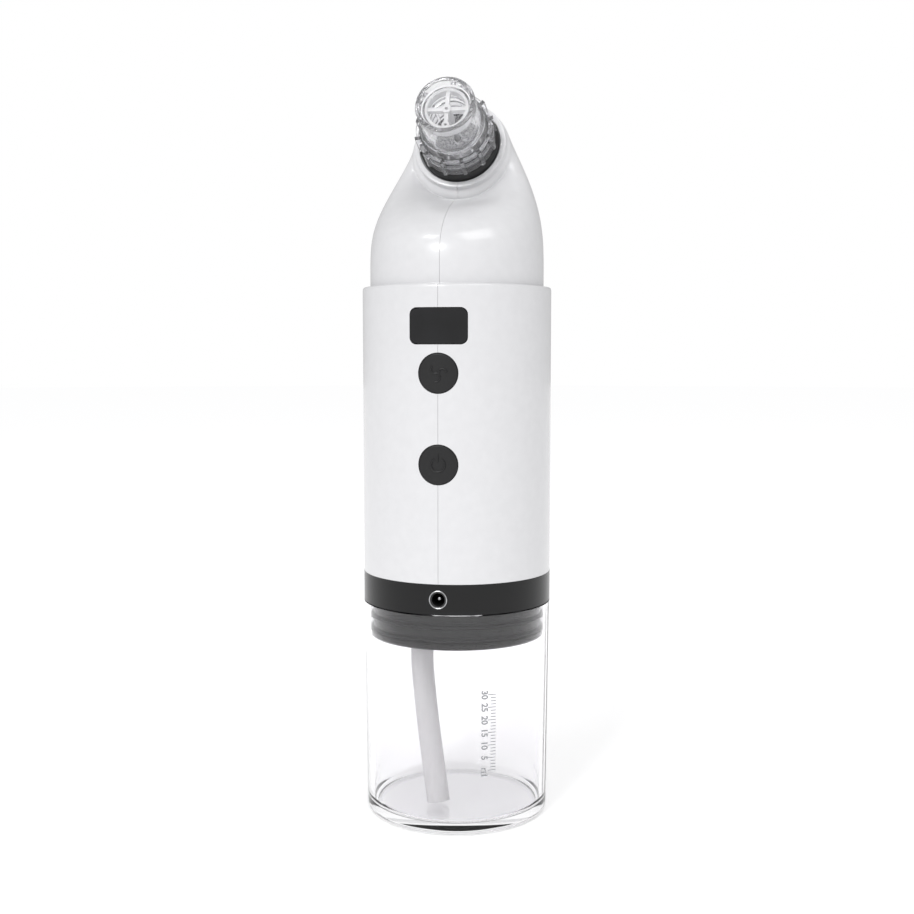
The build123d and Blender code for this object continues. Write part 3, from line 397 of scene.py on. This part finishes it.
for name, pieceName in (("power_button", "powerIcon"), ("mode_button", "modeIcon")):
    low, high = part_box(name)
    face = facing((0, low.y + icons["sink"] * mm, (low.z + high.z) / 2), sideways, forward)
    bm = bmesh.new()
    wire = icons["wire"] * mm
    if name == "power_button":
        gap = radians(icons["powerOpening"])
        arcBar(bm, face, icons["powerRadius"] * mm, radians(90) + gap / 2, radians(360) - gap, wire)
        stroke = face @ Matrix.Translation((0, icons["powerRadius"] * mm, 0))
        stroke = stroke @ Matrix.Rotation(radians(90), 4, "X")
        bmesh.ops.create_cone(bm, cap_ends=True, segments=8, radius1=wire, radius2=wire,
                              depth=icons["powerStroke"] * mm, matrix=stroke)
    else:
        for blade in range(icons["blades"]):
            turn = Matrix.Rotation(radians(360 / icons["blades"] * blade), 4, "Z")
            centre = face @ turn @ Matrix.Translation((icons["bladeRadius"] * mm, 0, 0))
            arcBar(bm, centre, icons["bladeRadius"] * mm, radians(icons["bladeStart"]),
                   radians(icons["bladeSweep"]), wire, icons["bladeSteps"])
    addPiece(pieceName, bm, "button_plastic", name)
print("button icons made")


# Printed scale on the tank's front wall
scale = {
    "angle": 28.0,
    "lowest": 17.0,
    "highest": 36.7,
    "fine": 24,
    "short": 1.4,
    "long": 2.1,
    "reach": 2.8,
    "line": 0.18,
    "lift": 0.03,
    "labels": ("ml", "5", "10", "15", "20", "25", "30"),
    "perNumber": 4,
    "numberHeight": 2.3,
    "numberOffset": 0.3,
    "unitDrop": 0.4,
    "footRadius": 24.3,
    "topRadius": 25.0,
}
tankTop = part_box("tank")[1].z
footRadius, topRadius = scale["footRadius"] * mm, scale["topRadius"] * mm


# Where the tank's outer wall is at an angle from the front and a height
def wallPoint(angle, height):
    radius = footRadius + (topRadius - footRadius) * height / tankTop + scale["lift"] * mm
    return Vector((radius * sin(angle), -radius * cos(angle), height))


bm = bmesh.new()
angle = radians(scale["angle"])
out = Vector((sin(angle), -cos(angle), 0))
across = Vector((cos(angle), sin(angle), 0))
pitch = (scale["highest"] - scale["lowest"]) / scale["fine"]
for step in range(scale["fine"] + 1):
    length = scale["short"] if step % scale["perNumber"] else scale["long"]
    centre = wallPoint(angle, (scale["lowest"] + step * pitch) * mm)
    centre += across * (scale["reach"] - length / 2) * mm
    bmesh.ops.create_cube(bm, size=1, matrix=facing(centre, across, out)
                          @ Matrix.Diagonal((length * mm, scale["line"] * mm, scale["line"] / 3 * mm, 1)))
addPiece("scaleTicks", bm, "grey_plastic", "tank")

bm = bmesh.new()
for index, text in enumerate(scale["labels"]):
    height = scale["lowest"] + index * scale["perNumber"] * pitch
    if index == 0:
        height -= scale["unitDrop"]
    curve = bpy.data.curves.new("label", "FONT")
    curve.body = text
    curve.size = scale["numberHeight"] * mm
    curve.extrude = scale["line"] / 6 * mm
    curve.offset = scale["line"] / 3 * mm
    curve.align_x = curve.align_y = "CENTER"
    label = addObject("label", curve)
    bpy.context.view_layer.update()
    mesh = bpy.data.meshes.new_from_object(label.evaluated_get(bpy.context.evaluated_depsgraph_get()))
    turned = radians(scale["angle"] - degrees(scale["numberOffset"] * mm / topRadius))
    place = facing(wallPoint(turned, height * mm), (cos(turned), sin(turned), 0),
                   (sin(turned), -cos(turned), 0))
    mesh.transform(place @ Matrix.Rotation(radians(-90), 4, "Z"))
    bm.from_mesh(mesh)
    bpy.data.objects.remove(label)
addPiece("scaleNumbers", bm, "grey_plastic", "tank")
print("tank scale made")


# Bezel round the charging jack
jackLow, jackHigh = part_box("dc_jack")
bezel = {"radius": 2.2, "wire": 0.16, "sink": 0.02, "sweep": 359.99, "steps": 64}
bm = bmesh.new()
jackFace = facing((0, -topRadius + bezel["sink"] * mm, (jackLow.z + jackHigh.z) / 2), sideways, forward)
arcBar(bm, jackFace, bezel["radius"] * mm, 0, radians(bezel["sweep"]), bezel["wire"] * mm,
       bezel["steps"])
addPiece("jackBezel", bm, "steel", "handle")


# Table, light and camera
stage = {
    "radius": 4.0,  # in metres
    "segments": 64,
    "gap": 0.2,  # under the tank's foot, in millimetres
    "dark": "#F6F6F7",
    "light": "#F8F8F8",
    "glow": 0.365,  # the table gives off some light of its own, which keeps it near white
}
bm = bmesh.new()
bmesh.ops.create_circle(bm, cap_ends=True, segments=stage["segments"], radius=stage["radius"])
floor = meshObject("floor", bm)
floor.location.z = cadBox[0][2] - stage["gap"] * mm
floor.data.materials.append(makeMaterial("paleTable", {
    "grain": 3.0, "dark": stage["dark"], "light": stage["light"], "bump": 0.0,
    "shader": {"Roughness": 0.8, "Specular IOR Level": 0.0, "Emission Color": (1, 1, 1, 1),
               "Emission Strength": stage["glow"]}}))

lights = {
    "window": {"kind": "SUN", "place": (-0.233, -0.843, 0.585), "spread": 14, "power": 1.1},
    "leftPanel": {"kind": "AREA", "place": (-0.3, -0.36, 0.85), "size": 0.16, "power": 0.7},
    "rightPanel": {"kind": "AREA", "place": (0.3, -0.3, 0.85), "size": 0.42, "power": 1.7},
}
target = Vector((0, 0, 0.1))  # the lights point at the middle of the body
for lightName, look in lights.items():
    lamp = bpy.data.lights.new(lightName, look["kind"])
    lamp.energy = look["power"]
    if look["kind"] == "AREA":
        lamp.shape = "SQUARE"
        lamp.size = look["size"]
    else:
        lamp.angle = radians(look["spread"])
    lampObject = addObject(lightName, lamp)
    lampObject.location = look["place"]
    lampObject.rotation_euler = (target - Vector(look["place"])).to_track_quat("-Z", "Y").to_euler()

# White backdrop, seen as such straight on and through clear parts, that lights at half its strength
room = {"colour": "#FFFFFF", "light": 0.5, "seen": 1.0}
world = bpy.data.worlds.new("studio")
world.use_nodes = True
tree = world.node_tree
tree.nodes.clear()
rays = addNode(tree, "ShaderNodeLightPath")
seen = addNode(tree, "ShaderNodeMath", settings={"operation": "MAXIMUM"},
               links={0: rays.outputs["Is Camera Ray"], 1: rays.outputs["Is Transmission Ray"]}).outputs[0]
soft, backdrop = [addNode(tree, "ShaderNodeBackground",
                          values={"Color": linearColour(room["colour"]), "Strength": room[part]})
                  for part in ("light", "seen")]
mixed = addNode(tree, "ShaderNodeMixShader", links={0: seen, 1: soft.outputs[0], 2: backdrop.outputs[0]})
addNode(tree, "ShaderNodeOutputWorld", links={"Surface": mixed.outputs[0]})
bpy.context.scene.world = world
bpy.context.scene.view_settings.view_transform = "Standard"

# Distances in millimetres, turns in degrees
view = {"turn": 11.0, "distance": 336.75, "belowRim": 16.125, "pitch": 4.9, "lens": 49.6}
cameraData = bpy.data.cameras.new("camera")
cameraData.lens = view["lens"]
camera = addObject("camera", cameraData)
turn = radians(view["turn"])
camera.location = (view["distance"] * mm * sin(turn), -view["distance"] * mm * cos(turn),
                   rimHeight - view["belowRim"] * mm)
camera.rotation_euler = (radians(90 - view["pitch"]), 0, turn)
bpy.context.scene.camera = camera
print("stage set")

bpy.context.view_layer.update()
